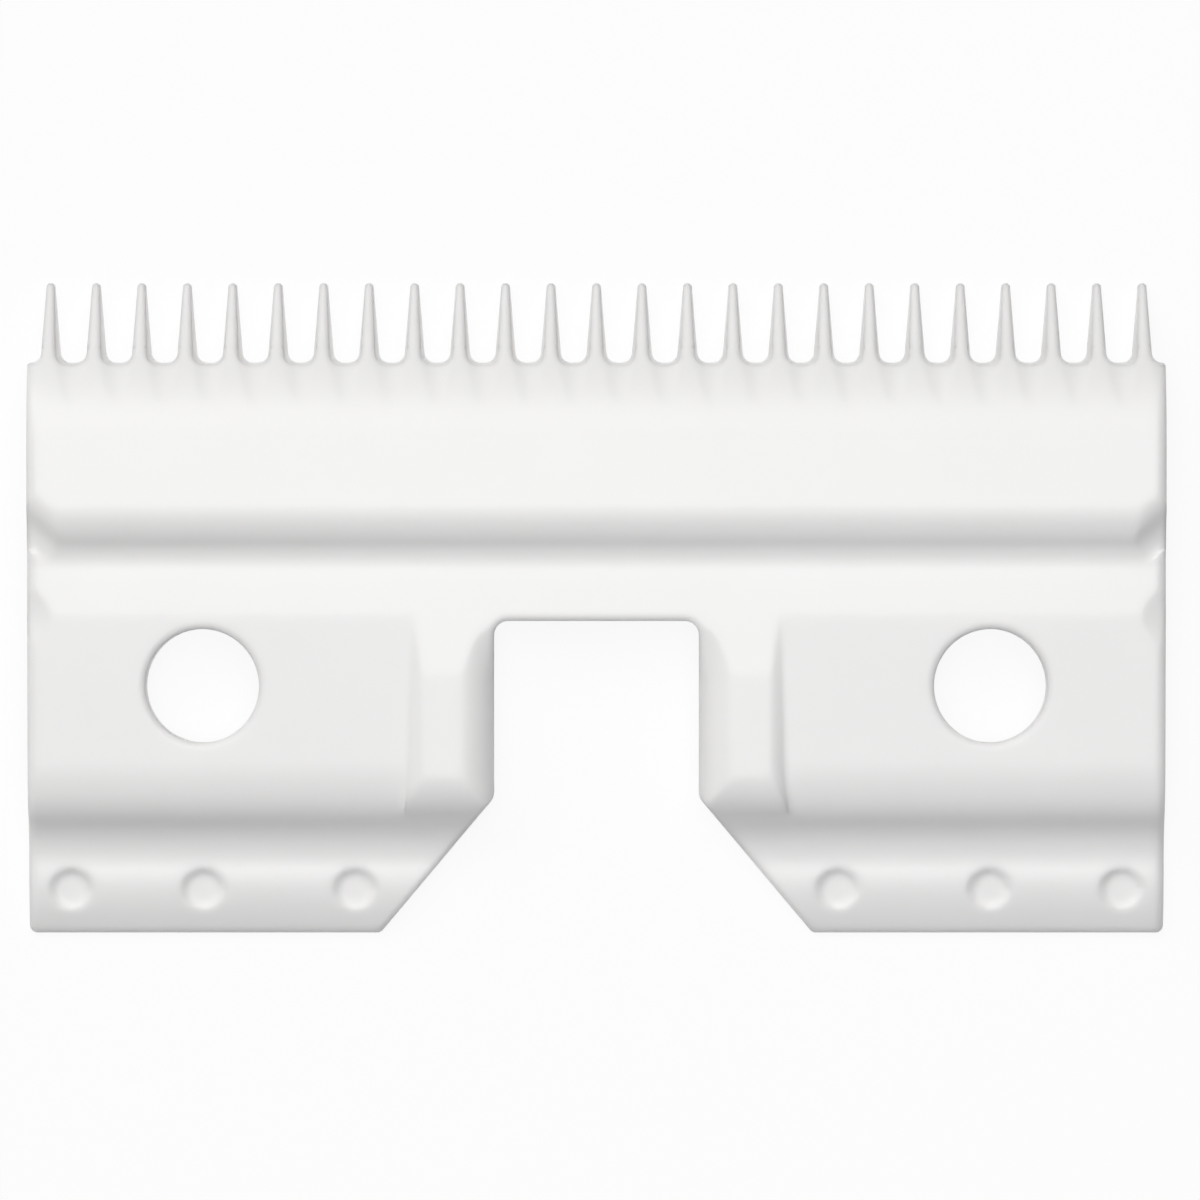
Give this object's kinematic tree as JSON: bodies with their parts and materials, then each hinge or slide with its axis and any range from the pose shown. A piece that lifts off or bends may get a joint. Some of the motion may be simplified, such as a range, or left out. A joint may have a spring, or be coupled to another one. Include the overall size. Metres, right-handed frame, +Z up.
{
  "type": "clipper cutter blade",
  "caption": "White ceramic moving cutter for a detachable clipper blade: a comb of tapered teeth on a stepped plate with guide holes and a flared drive slot at the rear.",
  "frame": {"origin": "middle of the underside, in the plane of the lapped lands", "axes": "+X along the row of teeth, +Y from the rear edge to the tooth tips, +Z up out of the lapped face"},
  "size_m": [0.044, 0.0252, 0.0044],
  "materials": {
    "zirconia": "satin"
  },
  "bodies": {
    "root": {"cutter_blade": "zirconia"}
  },
  "joints": []
}
